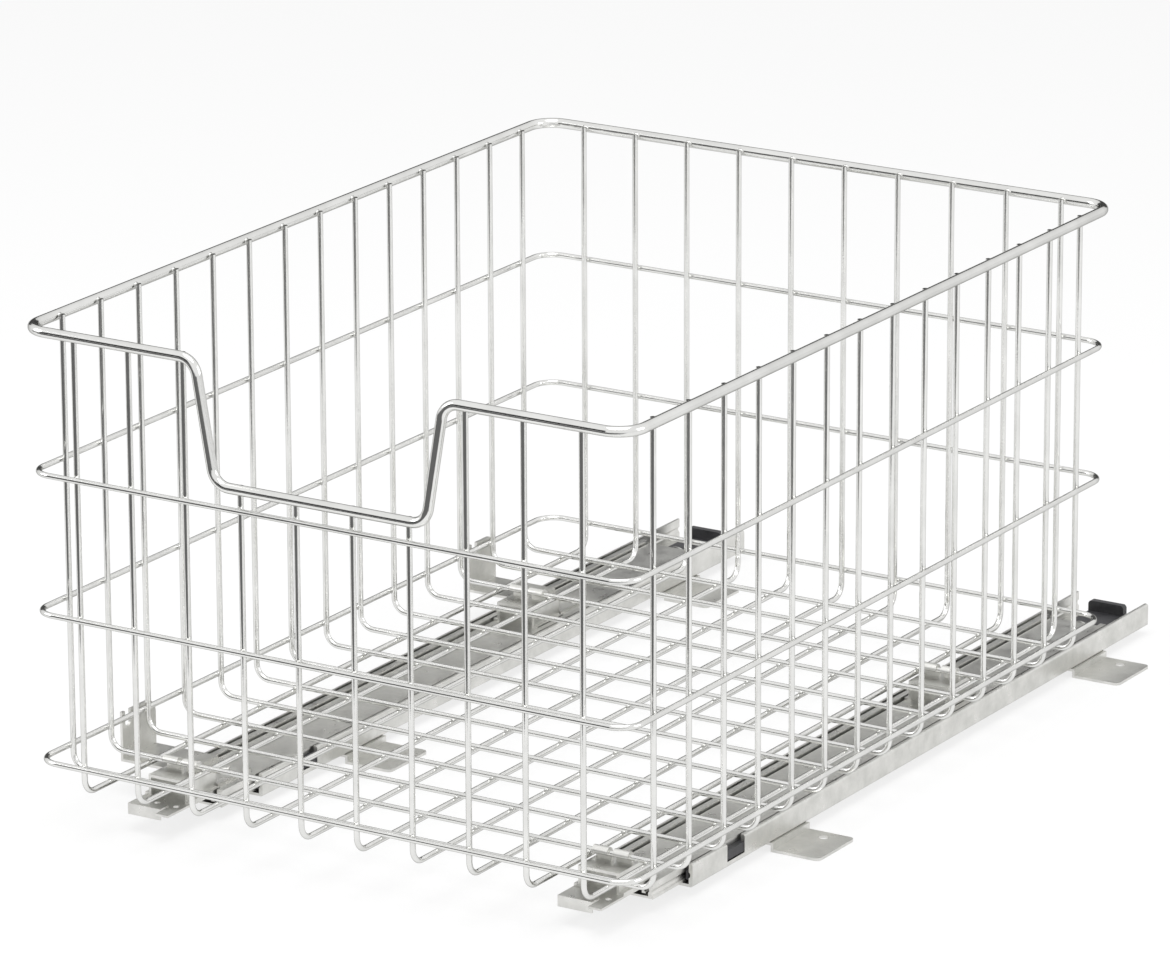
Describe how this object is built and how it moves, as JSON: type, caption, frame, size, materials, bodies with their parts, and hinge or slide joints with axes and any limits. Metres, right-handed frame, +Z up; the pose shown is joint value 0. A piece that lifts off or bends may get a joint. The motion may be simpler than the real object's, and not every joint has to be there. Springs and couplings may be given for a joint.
{
  "type": "pull-out cabinet basket",
  "caption": "Chrome wire basket with a scooped front, welded from bent wire, that pulls fully out of a cabinet on two flat three-member ball-bearing slides.",
  "frame": {"origin": "on the cabinet floor, in the middle of the closed object's footprint", "axes": "+Z up, -Y the front where the basket pulls out, +X to the right seen from the front"},
  "size_m": [0.3628, 0.5932, 0.2748],
  "materials": {
    "chrome_wire": "bright chrome-plated steel wire",
    "zinc_steel": "zinc-plated sheet steel",
    "cage_steel": "plain strip steel, lightly greased",
    "ball_steel": "polished bearing balls",
    "black_plastic": "moulded black plastic"
  },
  "bodies": {
    "cabinet_side": {"left_outer_rail": "zinc_steel", "left_front_guide": "black_plastic", "left_rear_bumper": "black_plastic", "left_front_foot": "zinc_steel", "left_rear_foot": "zinc_steel", "right_outer_rail": "zinc_steel", "right_front_guide": "black_plastic", "right_rear_bumper": "black_plastic", "right_front_foot": "zinc_steel", "right_rear_foot": "zinc_steel"},
    "basket": {"top_rim": "chrome_wire", "upper_ring": "chrome_wire", "middle_ring": "chrome_wire", "lower_ring": "chrome_wire", "cross_wires": "chrome_wire", "long_wires": "chrome_wire", "left_inner_rail": "zinc_steel", "right_inner_rail": "zinc_steel", "left_front_saddle": "zinc_steel", "left_rear_saddle": "zinc_steel", "right_front_saddle": "zinc_steel", "right_rear_saddle": "zinc_steel", "front_side_bracket": "zinc_steel", "rear_side_bracket": "zinc_steel"},
    "left_middle_rail": {"left_middle_rail": "zinc_steel"},
    "left_outer_cage": {"left_outer_ball_cage": "cage_steel", "left_outer_balls": "ball_steel"},
    "left_inner_cage": {"left_inner_ball_cage": "cage_steel", "left_inner_balls": "ball_steel"},
    "right_middle_rail": {"right_middle_rail": "zinc_steel"},
    "right_outer_cage": {"right_outer_ball_cage": "cage_steel", "right_outer_balls": "ball_steel"},
    "right_inner_cage": {"right_inner_ball_cage": "cage_steel", "right_inner_balls": "ball_steel"}
  },
  "joints": [
    {"name": "basket_slide", "type": "slide", "parent": "cabinet_side", "child": "basket", "axis": [0, -1, 0], "range_m": [0, 0.508]},
    {"name": "left_middle_rail_slide", "type": "slide", "parent": "cabinet_side", "child": "left_middle_rail", "axis": [0, -1, 0], "range_m": [0, 0.254]},
    {"name": "left_outer_cage_slide", "type": "slide", "parent": "cabinet_side", "child": "left_outer_cage", "axis": [0, -1, 0], "range_m": [0, 0.127]},
    {"name": "left_inner_cage_slide", "type": "slide", "parent": "cabinet_side", "child": "left_inner_cage", "axis": [0, -1, 0], "range_m": [0, 0.381]},
    {"name": "right_middle_rail_slide", "type": "slide", "parent": "cabinet_side", "child": "right_middle_rail", "axis": [0, -1, 0], "range_m": [0, 0.254]},
    {"name": "right_outer_cage_slide", "type": "slide", "parent": "cabinet_side", "child": "right_outer_cage", "axis": [0, -1, 0], "range_m": [0, 0.127]},
    {"name": "right_inner_cage_slide", "type": "slide", "parent": "cabinet_side", "child": "right_inner_cage", "axis": [0, -1, 0], "range_m": [0, 0.381]}
  ],
  "couplings": [
    {"joint": "left_middle_rail_slide", "follows": "basket_slide", "ratio": 0.5},
    {"joint": "left_outer_cage_slide", "follows": "basket_slide", "ratio": 0.25},
    {"joint": "left_inner_cage_slide", "follows": "basket_slide", "ratio": 0.75},
    {"joint": "right_middle_rail_slide", "follows": "basket_slide", "ratio": 0.5},
    {"joint": "right_outer_cage_slide", "follows": "basket_slide", "ratio": 0.25},
    {"joint": "right_inner_cage_slide", "follows": "basket_slide", "ratio": 0.75}
  ]
}
